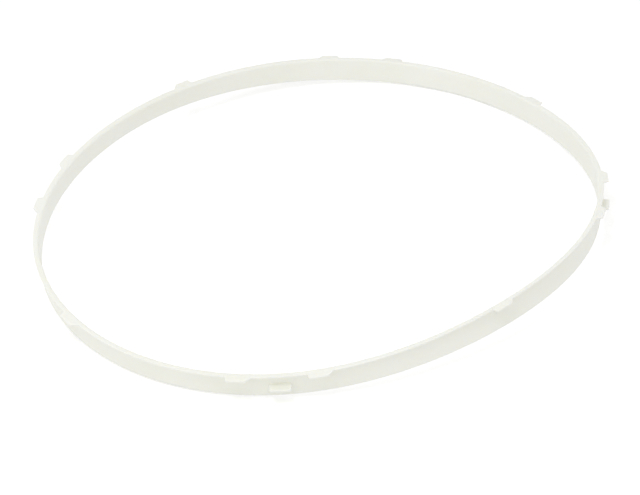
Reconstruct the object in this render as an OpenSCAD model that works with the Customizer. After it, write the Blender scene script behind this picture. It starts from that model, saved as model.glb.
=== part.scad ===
// Dryer drum bearing ring: one thin hoop moulded in slippery white plastic.
// An upright band has a narrow lip along its top edge. Flat tabs stand out level with the lip, a pair
// at each fixing place and one midway to the next, and between each pair a lug stands out lower down,
// so that a panel's edge is held between the tabs and the lug. The drum's rim turns inside the band.
// Loose, so thin a hoop goes out of round and its edge rises and dips. It is drawn as it lies, and
// with the lengths and the lean of its loose shape at 0 it is drawn as fitted, round and flat.

/* [Band] */
// Radius of the inside of the band when the ring is fitted and round
inner_r = 280; // [220:1:340]
// Height of the band
band_h = 26.5; // [22:0.5:40]
// Thickness of the band
wall = 2.2; // [1.2:0.1:4]
// Rounding of the inside top edge, over which the drum's rim slides
mouth = 2.5; // [1:0.5:3]

/* [Lip] */
// How far the lip along the top edge stands out past the band
lip_w = 3.6; // [2:0.1:8]
// Thickness of the lip and of the tabs
lip_t = 2; // [1.2:0.1:4]

/* [Tabs] */
// Number of fixing places round the ring
places = 4; // [2:1:6]
// Angle of the first fixing place, from the right-hand side
first_place_angle = -7; // [-45:1:45]
// Distance along the band between the middles of a pair of tabs
pair_gap = 72.5; // [70:0.5:110]
// Width of a tab where it leaves the lip
tab_w = 24; // [16:1:34]
// How far a tab stands out past the lip
tab_reach = 5.5; // [3:0.5:12]
// How much narrower a tab is at its tip on its sloping side
tab_slope = 6; // [0:0.5:8]
// How much narrower a tab is at its tip on its square side
tab_draft = 1.5; // [0:0.5:3]

/* [Lugs] */
// Width of a lug where it leaves the band
lug_w = 20; // [10:1:30]
// How far a lug stands out past the band
lug_reach = 9; // [4:0.5:14]
// Thickness of a lug
lug_t = 2.5; // [1.5:0.1:4]
// Depth of a lug's upper face below the top edge of the band
lug_drop = 12; // [8:0.5:16]
// How much narrower a lug is at its tip on each side
lug_draft = 1; // [0:0.5:3]
// How far a lug's upper and lower faces each close in towards its tip
lug_taper = 0.2; // [0:0.05:0.2]

/* [Edges] */
// Bevel along the free edges
bevel = 0.4; // [0.2:0.05:0.5]
// Fillet in the corner under the lip
fillet = 1; // [0.5:0.1:2]

/* [Loose shape] */
// How far the loose hoop swells and draws in twice round
oval = 20; // [0:0.5:40]
// Direction of its widest diameter
oval_angle = 41; // [-90:1:90]
// How far it swells and draws in three times round
three_sided = 3.9; // [0:0.1:6]
// Direction of the first of the three
three_sided_angle = -38; // [-60:1:60]
// How far it swells and draws in four times round
four_sided = 2; // [0:0.1:4]
// Direction of the first of the four
four_sided_angle = -8; // [-45:1:45]
// How far its edge rises and dips twice round
sway = 11.2; // [0:0.1:16]
// Direction of the two high points
sway_angle = -36; // [-90:1:90]
// How far its edge rises and dips three times round
ripple = 0.5; // [0:0.1:4]
// Direction of the first of the three
ripple_angle = 2; // [-60:1:60]
// How far its edge rises and dips four times round
quiver = 0.8; // [0:0.1:3]
// Direction of the first of the four
quiver_angle = 44; // [-45:1:45]
// Angle that the band leans out by all the way round, less than 0 where it leans in
flare_angle = -2.5; // [-6:0.5:6]

/* [Hidden] */
// Length of the straight stretches that the curved hoop is drawn with, near enough
stretch = 9;
fillet_steps = 2;
mouth_steps = 3;
lip_r = wall + lip_w;
mouth_r = min(mouth, wall + lip_w / 2);
PLAIN = 0;
TAB = 1;
LUG = 2;

function unit(v) = v / norm(v);
// Angle of a length measured along the band
function turn_of(length) = length / inner_r * 180 / PI;

// Waves of the loose shape: [size, direction] of those that go two, three and four times round
swells = [[oval, oval_angle], [three_sided, three_sided_angle], [four_sided, four_sided_angle]];
rises = [[sway, sway_angle], [ripple, ripple_angle], [quiver, quiver_angle]];
// Sums of the waves, each weighed by a power of its number n of times round
function total(v) = v * [for (i = v) 1];
function cosines(waves, a, power) = total([
    for (i = [0:len(waves) - 1])
        let (n = i + 2)
        pow(n, power) * waves[i][0] * cos(n * (a - waves[i][1]))
]);
function sines(waves, a, power) = total([
    for (i = [0:len(waves) - 1])
        let (n = i + 2)
        pow(n, power) * waves[i][0] * sin(n * (a - waves[i][1]))
]);
// The band's middle line swells outward, slides sideways so that its length stays the same, and rises
function swell(a) = cosines(swells, a, 0);
function slide(a) = -sines(swells, a, -1);
function rise(a) = cosines(rises, a, 0);
// How fast it turns outward and climbs, for each radian round the ring
function stray(a) = -sines(swells, a, 1) - slide(a);
function climb(a) = -sines(rises, a, 1);
// A flat strip can't bend edgewise, so it leans in where its edge is high and out where it is low
function lean(a) = flare_angle - cosines(rises, a, 2) / inner_r * 180 / PI;

// Frame of the band's section at an angle: middle of the inside face, outward and up
function frame(a) =
    let (
        radial = [cos(a), sin(a), 0],
        round = [-sin(a), cos(a), 0],
        up = [0, 0, 1],
        along = unit(stray(a) * radial + inner_r * round + climb(a) * up),
        out_flat = unit(inner_r * radial - stray(a) * round),
        up_flat = cross(out_flat, along)
    )
    [
        (inner_r + swell(a)) * radial + slide(a) * round + (rise(a) + band_h / 2) * up,
        out_flat * cos(lean(a)) - up_flat * sin(lean(a)),
        up_flat * cos(lean(a)) + out_flat * sin(lean(a))
    ];
// A point of the section, at a distance out from the inside face and a height up the band
function place(f, out, height) = f[0] + out * f[1] + (height - band_h / 2) * f[2];

// Four points across the bevelled edge of a plate, from its top down: [out, height, is it a tip]
function plate_edge(out, top, t, tip) = [
    [out - bevel, top, tip],
    [out, top - bevel, tip],
    [out, top - t + bevel, tip],
    [out - bevel, top - t, tip]
];
lip_edge = plate_edge(lip_r, band_h, lip_t, 0);
tab_edge = plate_edge(lip_r + tab_reach, band_h, lip_t, 1);
lug_edge = plate_edge(wall + lug_reach, band_h - lug_drop - lug_taper, lug_t - 2 * lug_taper, 1);
lug_root = [for (p = plate_edge(wall, band_h - lug_drop, lug_t, 0)) [wall, p[1], 0]];
mouth_edge = [
    for (i = [0:mouth_steps])
        let (a = 90 * i / mouth_steps)
        [mouth_r * (1 - cos(a)), band_h - mouth_r * (1 - sin(a)), 0]
];
under_lip = [
    for (i = [0:fillet_steps])
        let (a = 90 * i / fillet_steps)
        [wall + fillet * (1 - sin(a)), band_h - lip_t - fillet * (1 - cos(a)), 0]
];
// A plate grows from a root: the root's outer points stay, with the plate's edge between them
function grown(root, edge) = [root[0], each edge, root[3]];

// Outline of the section: up the inside, out along the lip, and down the outside
function section(kind) = [
    [bevel, 0, 0],
    [0, bevel, 0],
    each mouth_edge,
    each (kind == TAB ? grown(lip_edge, tab_edge) : lip_edge),
    each under_lip,
    each (kind == LUG ? grown(lug_root, lug_edge) : lug_root),
    [wall, bevel, 0],
    [wall - bevel, 0, 0]
];

// A bay is a stretch of the ring: [first angle, last angle, kind, narrowing at its first and last side]
function bay(middle, width, kind, first_side, last_side) = [
    middle - turn_of(width) / 2,
    middle + turn_of(width) / 2,
    kind,
    turn_of(first_side),
    turn_of(last_side)
];
function tab_bay(middle) = bay(middle, tab_w, TAB, tab_draft, tab_slope);
plate_bays = [
    for (i = [0:places - 1])
        let (middle = first_place_angle + i * 360 / places)
        each [
            tab_bay(middle - turn_of(pair_gap) / 2),
            bay(middle, lug_w, LUG, lug_draft, lug_draft),
            tab_bay(middle + turn_of(pair_gap) / 2),
            tab_bay(middle + 180 / places)
        ]
];
bays = [
    for (i = [0:len(plate_bays) - 1])
        let (next = plate_bays[(i + 1) % len(plate_bays)])
        each [plate_bays[i], [plate_bays[i][1], next[0], PLAIN, 0, 0]]
];

// Angle covered by a bay, also where it runs past a full turn
function span(b) = b[1] > b[0] ? b[1] - b[0] : b[1] - b[0] + 360;
// Angle of a plate's tip, which its sides squeeze, at a share of the way through a bay
function tip_angle(b, share) = b[0] + b[3] + share * (span(b) - b[3] - b[4]);
// One outline of points in space for each cut through a bay
function rows(b) =
    let (n = max(1, round(span(b) / turn_of(stretch))))
    [
        for (i = [0:n])
            let (
                root = frame(i == n ? b[1] : b[0] + span(b) * i / n),
                tip = frame(tip_angle(b, i / n))
            )
            [for (p = section(b[2])) place(p[2] == 1 ? tip : root, p[0], p[1])]
    ];
// Two triangles on the four points between two rows
function patch(p, q, r, s) = [[p, q, r], [p, r, s]];
function tube(r) = [
    for (i = [0:len(r) - 2])
        for (j = [0:len(r[i]) - 1])
            let (k = (j + 1) % len(r[i]))
            each patch(r[i][j], r[i + 1][j], r[i + 1][k], r[i][k])
];
// Side wall of a plate at an angle, between the points of its root and those of its edge
function side(a, tip_a, root, edge) =
    let (f = frame(a), g = frame(tip_a))
    [
        for (j = [0:2])
            each patch(
                place(f, root[j][0], root[j][1]),
                place(g, edge[j][0], edge[j][1]),
                place(g, edge[j + 1][0], edge[j + 1][1]),
                place(f, root[j + 1][0], root[j + 1][1])
            )
    ];
function reversed(triangles) = [for (t = triangles) [t[0], t[2], t[1]]];
function sides(b, root, edge) = [
    each side(b[0], tip_angle(b, 0), root, edge),
    each reversed(side(b[1], tip_angle(b, 1), root, edge))
];
skin = [
    for (b = bays)
        each concat(
            tube(rows(b)),
            b[2] == TAB ? sides(b, lip_edge, tab_edge) : [],
            b[2] == LUG ? sides(b, lug_root, lug_edge) : []
        )
];
corners = [for (t = skin) each t];
low = [for (i = [0:2]) min([for (p = corners) p[i]])];
high = [for (i = [0:2]) max([for (p = corners) p[i]])];

// The hoop, lying with its lowest point on the ground and the middle of its outline over the origin
module bearing_ring() {
    color("whitesmoke")
        translate([-(low[0] + high[0]) / 2, -(low[1] + high[1]) / 2, -low[2]])
            polyhedron(
                points = corners,
                faces = [for (i = [0:len(skin) - 1]) [3 * i, 3 * i + 1, 3 * i + 2]]
            );
}

bearing_ring();
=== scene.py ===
import math

import bpy
import numpy as np
from mathutils import Matrix, Vector


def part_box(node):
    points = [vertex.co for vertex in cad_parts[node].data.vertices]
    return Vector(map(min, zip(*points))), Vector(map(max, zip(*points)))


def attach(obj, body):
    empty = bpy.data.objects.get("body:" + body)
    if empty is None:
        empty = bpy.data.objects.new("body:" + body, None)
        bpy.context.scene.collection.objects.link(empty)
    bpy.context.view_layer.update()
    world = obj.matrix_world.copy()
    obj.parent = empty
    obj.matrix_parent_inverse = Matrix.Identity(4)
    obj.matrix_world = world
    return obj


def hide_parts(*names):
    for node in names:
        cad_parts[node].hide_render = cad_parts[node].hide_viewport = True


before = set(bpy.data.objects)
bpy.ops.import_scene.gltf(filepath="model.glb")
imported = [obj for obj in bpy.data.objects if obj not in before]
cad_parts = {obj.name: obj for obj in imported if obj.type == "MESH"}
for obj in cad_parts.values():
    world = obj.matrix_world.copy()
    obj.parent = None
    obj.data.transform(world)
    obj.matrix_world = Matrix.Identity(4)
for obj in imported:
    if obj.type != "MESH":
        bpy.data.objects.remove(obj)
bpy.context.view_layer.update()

# The bearing ring: a hoop moulded in one shot from slippery white plastic. An upright band carries a
# lip along its top edge, twelve flat tabs level with the lip and four lugs lower down. Loose, so thin
# a hoop lies out of round, with its edge rising and dipping. Its sizes are those of the CAD model.
MM = 0.001
INNER_R = 280 * MM
BAND_H = 26.5 * MM
WALL = 2.2 * MM
MOUTH = 2.5 * MM
LIP_W = 3.6 * MM
LIP_T = 2 * MM
LIP_FILLET = 1 * MM
PLACES = 4
FIRST_PLACE = math.radians(-7)
PAIR_GAP = 72.5 * MM
TAB_W = 24 * MM
TAB_REACH = 5.5 * MM
TAB_SLOPE = 6 * MM
TAB_DRAFT = 1.5 * MM
LUG_W = 20 * MM
LUG_REACH = 9 * MM
LUG_T = 2.5 * MM
LUG_DROP = 12 * MM
LUG_DRAFT = 1 * MM
LUG_TAPER = 0.2 * MM
# waves of the loose shape: how many times round, size and direction
SWELL_WAVES = [
    (2, 20 * MM, math.radians(41)),
    (3, 3.9 * MM, math.radians(-38)),
    (4, 2 * MM, math.radians(-8)),
]
RISE_WAVES = [
    (2, 11.2 * MM, math.radians(-36)),
    (3, 0.5 * MM, math.radians(2)),
    (4, 0.8 * MM, math.radians(44)),
]
FLARE = math.radians(-2.5)
# roundings of the mould: the free edges, a plate's corners in plan, and the corners at its root, with
# the stretch of plain edge on each side of a plate that its root fillets run out into
EDGE_ROUND = 0.45 * MM
CORNER_ROUND = 1.2 * MM
ROOT_FILLET = 1 * MM
ROOT_LEAD = 1.5 * ROOT_FILLET
LUG_FILLET = 1 * MM
# how finely the roundings and the plain stretches are drawn
EDGE_STEPS = 4
CORNER_STEPS = 5
STRETCH = 3 * MM
QUARTER = [math.pi / 2 * i / EDGE_STEPS for i in range(EDGE_STEPS + 1)]


def turned(length):
    """Angle of a length measured along the band."""
    return length / INNER_R


def loose_frame(angle):
    """Middle of the band's inside face, outward and up, for each angle round the loose hoop."""
    angle = angle[:, None]
    level = np.zeros_like(angle)
    radial = np.hstack([np.cos(angle), np.sin(angle), level])
    around = np.hstack([-np.sin(angle), np.cos(angle), level])
    upright = np.array([0, 0, 1.0])

    def total(waves, weight, wave):
        return sum(weight(n) * size * wave(n * (angle - turn)) for n, size, turn in waves)

    def unit(vectors):
        return vectors / np.linalg.norm(vectors, axis=1, keepdims=True)

    # the band's middle line swells outward, slides sideways so that its length stays, and rises
    swell = total(SWELL_WAVES, lambda n: 1, np.cos)
    slide = -total(SWELL_WAVES, lambda n: 1 / n, np.sin)
    rise = total(RISE_WAVES, lambda n: 1, np.cos)
    # how fast it turns outward and climbs, for each radian round the ring
    stray = -total(SWELL_WAVES, lambda n: n - 1 / n, np.sin)
    climb = -total(RISE_WAVES, lambda n: n, np.sin)
    # a flat strip can't bend edgewise, so it leans in where its edge is high
    lean = FLARE - total(RISE_WAVES, lambda n: n * n, np.cos) / INNER_R
    along = unit(stray * radial + INNER_R * around + climb * upright)
    out_flat = unit(INNER_R * radial - stray * around)
    up_flat = np.cross(out_flat, along)
    middle = (INNER_R + swell) * radial + slide * around + (rise + BAND_H / 2) * upright
    outward = out_flat * np.cos(lean) - up_flat * np.sin(lean)
    up = up_flat * np.cos(lean) + out_flat * np.sin(lean)
    return middle, outward, up


def placed(angle, out, height):
    """Points of the section in space: out from the band's inside face and up from its lower edge."""
    middle, outward, up = loose_frame(angle)
    out, height = np.reshape(out, (-1, 1)), np.reshape(height, (-1, 1))
    return middle + out * outward + (height - BAND_H / 2) * up


def rounding(radius):
    """Points of a rounding between two faces, as their distances inside the one and the other."""
    return [(radius * (1 - math.sin(a)), radius * (1 - math.cos(a))) for a in QUARTER]


def edge_profile(thickness):
    """Points of a plate's rounded edge, in from its outline and down from its upper face."""
    top = rounding(EDGE_ROUND)
    return top + [(inset, thickness - down) for inset, down in reversed(top)]


def rounded_outline(corners, radii):
    """A path through corners with the inner ones rounded, and its outward direction at each point."""
    corners = [np.array(corner, float) for corner in corners]

    def left_of(a, b):
        along = (b - a) / np.linalg.norm(b - a)
        return np.array([-along[1], along[0]])

    points, outward = [corners[0]], [left_of(corners[0], corners[1])]
    for before, corner, after, radius in zip(corners, corners[1:], corners[2:], radii):
        first, last = left_of(before, corner), left_of(corner, after)
        across = np.array([-first[1], first[0]])
        turn = math.atan2(across @ last, first @ last)
        bend = math.copysign(radius, -turn)
        centre = corner - (first + last) / (1 + first @ last) * bend
        for i in range(CORNER_STEPS + 1):
            a = turn * i / CORNER_STEPS
            direction = first * math.cos(a) + across * math.sin(a)
            points.append(centre + direction * bend)
            outward.append(direction)
    points.append(corners[-1])
    outward.append(left_of(corners[-2], corners[-1]))
    return np.array(points), np.array(outward)


def plate_outline(width, reach, first_side, last_side):
    """Plan of a tab or a lug: points along the ring and out from its root, with their directions."""
    half = width / 2
    return rounded_outline(
        [(-half - ROOT_LEAD, 0), (-half, 0), (first_side - half, reach),
         (half - last_side, reach), (half, 0), (half + ROOT_LEAD, 0)],
        [ROOT_FILLET, CORNER_ROUND, CORNER_ROUND, ROOT_FILLET],
    )


def ring_cuts():
    """Every cut round the ring: its angle, the middle of its plate, and its point in plan on the edge
    of the lip and of the lugs, each as along, out and its direction's two parts."""
    tab = plate_outline(TAB_W, TAB_REACH, TAB_DRAFT, TAB_SLOPE)
    lug = plate_outline(LUG_W, LUG_REACH, LUG_DRAFT, LUG_DRAFT)
    plates = []
    for place in range(PLACES):
        middle = FIRST_PLACE + place * math.tau / PLACES
        plates += [
            (middle - turned(PAIR_GAP) / 2, tab),
            (middle, lug),
            (middle + turned(PAIR_GAP) / 2, tab),
            (middle + math.pi / PLACES, tab),
        ]
    cuts = []
    for (middle, plate), (next_middle, next_plate) in zip(plates, plates[1:] + plates[:1]):
        points, outward = plate
        first, last = points[0, 0], points[-1, 0]
        walked = np.r_[0, np.cumsum(np.linalg.norm(np.diff(points, axis=0), axis=1))]
        roots = first + walked / walked[-1] * (last - first)
        for root, point, direction in zip(roots, points, outward):
            plain, grown = (root, 0.0, 0.0, 1.0), (*point, *direction)
            on_lip, on_lug = (grown, plain) if plate is tab else (plain, grown)
            cuts.append((middle + turned(root), middle, on_lip, on_lug))
        start, end = middle + turned(last), next_middle + turned(next_plate[0][0, 0])
        if end < start:
            end += math.tau
        count = math.ceil((end - start) / turned(STRETCH))
        for i in range(1, count):
            angle, plain = start + (end - start) * i / count, (0.0, 0.0, 0.0, 1.0)
            cuts.append((angle, angle, plain, plain))
    return cuts


def hoop_mesh():
    """The hoop as one closed tube of quads, with a row of points for each cut."""
    angle, middle, lip_plan, lug_plan = (np.array(part) for part in zip(*ring_cuts()))
    lines = []

    def plain_line(out, height):
        lines.append(placed(angle, out, height))

    def plate_edge(plan, root_out, top, thickness, taper):
        along, reach, way_along, way_out = plan.T
        slimmer = 1 - 2 * taper * reach / reach.max() / thickness
        for inset, down in edge_profile(thickness):
            out = np.maximum(root_out + reach - way_out * inset, WALL)
            height = top - thickness / 2 + (thickness / 2 - down) * slimmer
            lines.append(placed(middle + turned(along - way_along * inset), out, height))

    def lug_fillet(face, way):
        # way is 1 above the lugs, where the lines run down to them, and -1 below, where they run off;
        # where no lug stands, they go on along the wall, a step apart
        along, reach, way_along, way_out = lug_plan.T
        at = middle + turned(along - way_along * EDGE_ROUND)
        share = np.clip((reach - way_out * EDGE_ROUND) / LUG_FILLET, 0, 1)
        step = LUG_FILLET / (EDGE_STEPS + 1)
        arc = list(enumerate(rounding(LUG_FILLET), 1))
        for i, (off_wall, off_face) in reversed(arc) if way > 0 else arc:
            off_face = off_face * share + i * step * (1 - share)
            lines.append(placed(at, WALL + off_wall * share, face + way * off_face))

    for inset, height in rounding(EDGE_ROUND):
        plain_line(inset, height)
    for out, down in reversed(rounding(MOUTH)):
        plain_line(out, BAND_H - down)
    plate_edge(lip_plan, WALL + LIP_W, BAND_H, LIP_T, 0)
    for off_wall, down in rounding(LIP_FILLET):
        plain_line(WALL + off_wall, BAND_H - LIP_T - down)
    lug_top = BAND_H - LUG_DROP
    lug_fillet(lug_top, 1)
    plate_edge(lug_plan, WALL, lug_top, LUG_T, LUG_TAPER)
    lug_fillet(lug_top - LUG_T, -1)
    for inset, height in reversed(rounding(EDGE_ROUND)):
        plain_line(WALL - inset, height)

    rows = np.stack(lines, 1)
    n, m = rows.shape[:2]
    i, j = np.meshgrid(np.arange(n), np.arange(m), indexing="ij")
    next_i, next_j = (i + 1) % n, (j + 1) % m
    quads = np.stack([i * m + j, i * m + next_j, next_i * m + next_j, next_i * m + j], -1)
    return rows.reshape(-1, 3), quads.reshape(-1, 4)


# the hoop lies in the CAD model's place, and its broad faces shade flat up to their roundings
FLAT_WEIGHT = 100
points, quads = hoop_mesh()
low, high = (np.array(corner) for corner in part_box("bearing_ring"))
hoop_shift = (low + high - points.min(0) - points.max(0)) / 2
hoop_shift[2] = low[2] - points[:, 2].min()
points += hoop_shift
mesh = bpy.data.meshes.new("bearing_ring_moulding")
mesh.from_pydata(points.tolist(), [], quads.tolist())
mesh.polygons.foreach_set("use_smooth", [True] * len(quads))
mesh.update()
hoop = bpy.data.objects.new("moulded_hoop", mesh)
bpy.context.scene.collection.objects.link(hoop)
flat_faces = hoop.modifiers.new("flat_faces", "WEIGHTED_NORMAL")
flat_faces.mode = "FACE_AREA"
flat_faces.weight = FLAT_WEIGHT


class Value:
    """One output socket, with arithmetic that adds Math nodes."""

    def __init__(self, finish, socket):
        self.finish, self.socket = finish, socket

    def _math(self, operation, other):
        return self.finish.node("ShaderNodeMath", {"operation": operation}, {0: self, 1: other})

    def __add__(self, other):
        return self._math("ADD", other)

    def __mul__(self, other):
        return self._math("MULTIPLY", other)

    __radd__, __rmul__ = __add__, __mul__


class Finish:
    """The nodes of a material or of the studio's surround, added one call at a time."""

    def __init__(self, owner):
        owner.use_nodes = True
        self.nodes, self.links = owner.node_tree.nodes, owner.node_tree.links
        self.nodes.clear()

    def node(self, kind, settings=(), values=(), output=0):
        made = self.nodes.new(kind)
        for name, value in dict(settings).items():
            if name == "stops":
                for stop, (position, shade) in zip(made.color_ramp.elements, value):
                    stop.position, stop.color = position, shade
            else:
                setattr(made, name, value)
        for name, value in dict(values).items():
            if isinstance(value, Value):
                self.links.new(value.socket, made.inputs[name])
            else:
                made.inputs[name].default_value = value
        return Value(self, made.outputs[output]) if made.outputs else None


# satin moulded plastic, a little warm, with light scattering a little under its surface, faint
# clouding and the fine grain of the mould
CLOUDS_PER_METRE = 9.0
GRAINS_PER_METRE = 900.0
GRAIN_DEPTH = 0.2 * MM
GRAIN_STRENGTH = 0.12
# levels of the clouding, each with its white
WHITES = [(0.3, (0.870, 0.872, 0.795, 1)), (0.7, (0.900, 0.903, 0.838, 1))]
LEAST_ROUGH = 0.36
CLOUD_ROUGH = 0.14
PLASTIC_IOR = 1.5
SCATTERED = 0.8
SCATTER_DEPTH = 4 * MM
SCATTER_TINT = (1, 0.95, 0.85)
plastic = bpy.data.materials.new("satin_white_plastic")
satin = Finish(plastic)
where = satin.node("ShaderNodeTexCoord", output="Object")
clouding = satin.node(
    "ShaderNodeTexNoise",
    {},
    {"Vector": where, "Scale": CLOUDS_PER_METRE, "Detail": 3.0, "Roughness": 0.55},
)
grain = satin.node(
    "ShaderNodeTexNoise",
    {},
    {"Vector": where, "Scale": GRAINS_PER_METRE, "Detail": 2.0, "Roughness": 0.6},
)
white = satin.node("ShaderNodeValToRGB", {"stops": WHITES}, {"Fac": clouding})
relief = satin.node(
    "ShaderNodeBump", {}, {"Height": grain, "Strength": GRAIN_STRENGTH, "Distance": GRAIN_DEPTH}
)
surface = satin.node(
    "ShaderNodeBsdfPrincipled",
    {},
    {
        "Base Color": white,
        "Roughness": LEAST_ROUGH + CLOUD_ROUGH * clouding,
        "Normal": relief,
        "IOR": PLASTIC_IOR,
        "Subsurface Weight": SCATTERED,
        "Subsurface Scale": SCATTER_DEPTH,
        "Subsurface Radius": SCATTER_TINT,
    },
)
satin.node("ShaderNodeOutputMaterial", {}, {"Surface": surface})
mesh.materials.append(plastic)
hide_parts("bearing_ring")
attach(hoop, "root")

# The ground: a plain pale sheet that the hoop lies on, fixed to nothing. It reads as white to the
# camera and keeps the hoop's soft shadow.
GROUND_SIZE = 8.0
GROUND_PALE = (0.9, 0.9, 0.9, 1)
GROUND_GLOW = 0.27
WHITE = (1, 1, 1, 1)
WHITE_RAYS = ("Is Camera Ray", "Is Glossy Ray", "Is Transmission Ray")


def white_ray(finish):
    """1 for the camera's rays and mirror-like ones, which see the background as white, 0 for others."""
    return sum(finish.node("ShaderNodeLightPath", output=name) for name in WHITE_RAYS)


bpy.ops.mesh.primitive_plane_add(size=GROUND_SIZE, location=(0, 0, 0))
ground = bpy.context.object
ground.name = "ground"
paper = bpy.data.materials.new("pale_ground")
matt = Finish(paper)
sheet = matt.node("ShaderNodeBsdfDiffuse", {}, {"Color": GROUND_PALE})
glow = matt.node("ShaderNodeEmission", {}, {"Color": WHITE, "Strength": GROUND_GLOW * white_ray(matt)})
lit = matt.node("ShaderNodeAddShader", {}, {0: sheet, 1: glow})
matt.node("ShaderNodeOutputMaterial", {}, {"Surface": lit})
ground.data.materials.append(paper)

# The studio light: an even pale surround and three soft round lamps in front, the strongest high up,
# which leave soft shadows under the tabs. The camera and mirror-like rays see the surround as white.
SURROUND = 0.76
LAMP_WIDE = 0.6
LAMP_FAR = 2.2
# degrees round the hoop from its right-hand side, degrees up from the ground, and watts
LAMPS = {
    "high_lamp": (240, 65, 6.5),
    "left_lamp": (225, 25, 3.0),
    "front_lamp": (300, 60, 1.7),
}
world = bpy.data.worlds.new("studio")
bpy.context.scene.world = world
studio = Finish(world)
strength = SURROUND + (1 - SURROUND) * white_ray(studio)
surround = studio.node("ShaderNodeBackground", {}, {"Color": WHITE, "Strength": strength})
studio.node("ShaderNodeOutputWorld", {}, {"Surface": surround})
for name, (side, lift, watts) in LAMPS.items():
    side, lift = math.radians(side), math.radians(lift)
    towards_lamp = Vector(
        (math.cos(lift) * math.cos(side), math.cos(lift) * math.sin(side), math.sin(lift))
    )
    lamp_data = bpy.data.lights.new(name, "AREA")
    lamp_data.shape = "DISK"
    lamp_data.size = LAMP_WIDE
    lamp_data.energy = watts
    lamp = bpy.data.objects.new(name, lamp_data)
    lamp.location = LAMP_FAR * towards_lamp
    lamp.rotation_euler = towards_lamp.to_track_quat("Z", "Y").to_euler()
    bpy.context.scene.collection.objects.link(lamp)

# The camera: at the photograph's viewing angle, 1.7 m from the middle of the hoop, which stands a
# little above and to the right of the middle of the picture.
CAMERA_FAR = 1.722
CAMERA_LIFT = math.radians(34.65)
CAMERA_ROLL = math.radians(-1.48)
FOCAL_PIXELS = 1656.6
PICTURE_W, PICTURE_H = 640, 495
HOOP_X, HOOP_Y = 324.7, 212.3
SENSOR = 36.0
camera_data = bpy.data.cameras.new("camera")
camera_data.sensor_width = SENSOR
camera_data.lens = SENSOR * FOCAL_PIXELS / PICTURE_W
camera_data.shift_x = ((PICTURE_W - 1) / 2 - HOOP_X) / PICTURE_W
camera_data.shift_y = (HOOP_Y - (PICTURE_H - 1) / 2) / PICTURE_W
camera = bpy.data.objects.new("camera", camera_data)
back_and_up = Vector((0, -math.cos(CAMERA_LIFT), math.sin(CAMERA_LIFT)))
camera.matrix_world = (
    Matrix.Translation(Vector(hoop_shift) + CAMERA_FAR * back_and_up)
    @ Matrix.Rotation(math.pi / 2 - CAMERA_LIFT, 4, "X")
    @ Matrix.Rotation(CAMERA_ROLL, 4, "Z")
)
bpy.context.scene.collection.objects.link(camera)
bpy.context.scene.camera = camera
bpy.context.scene.view_settings.view_transform = "Standard"
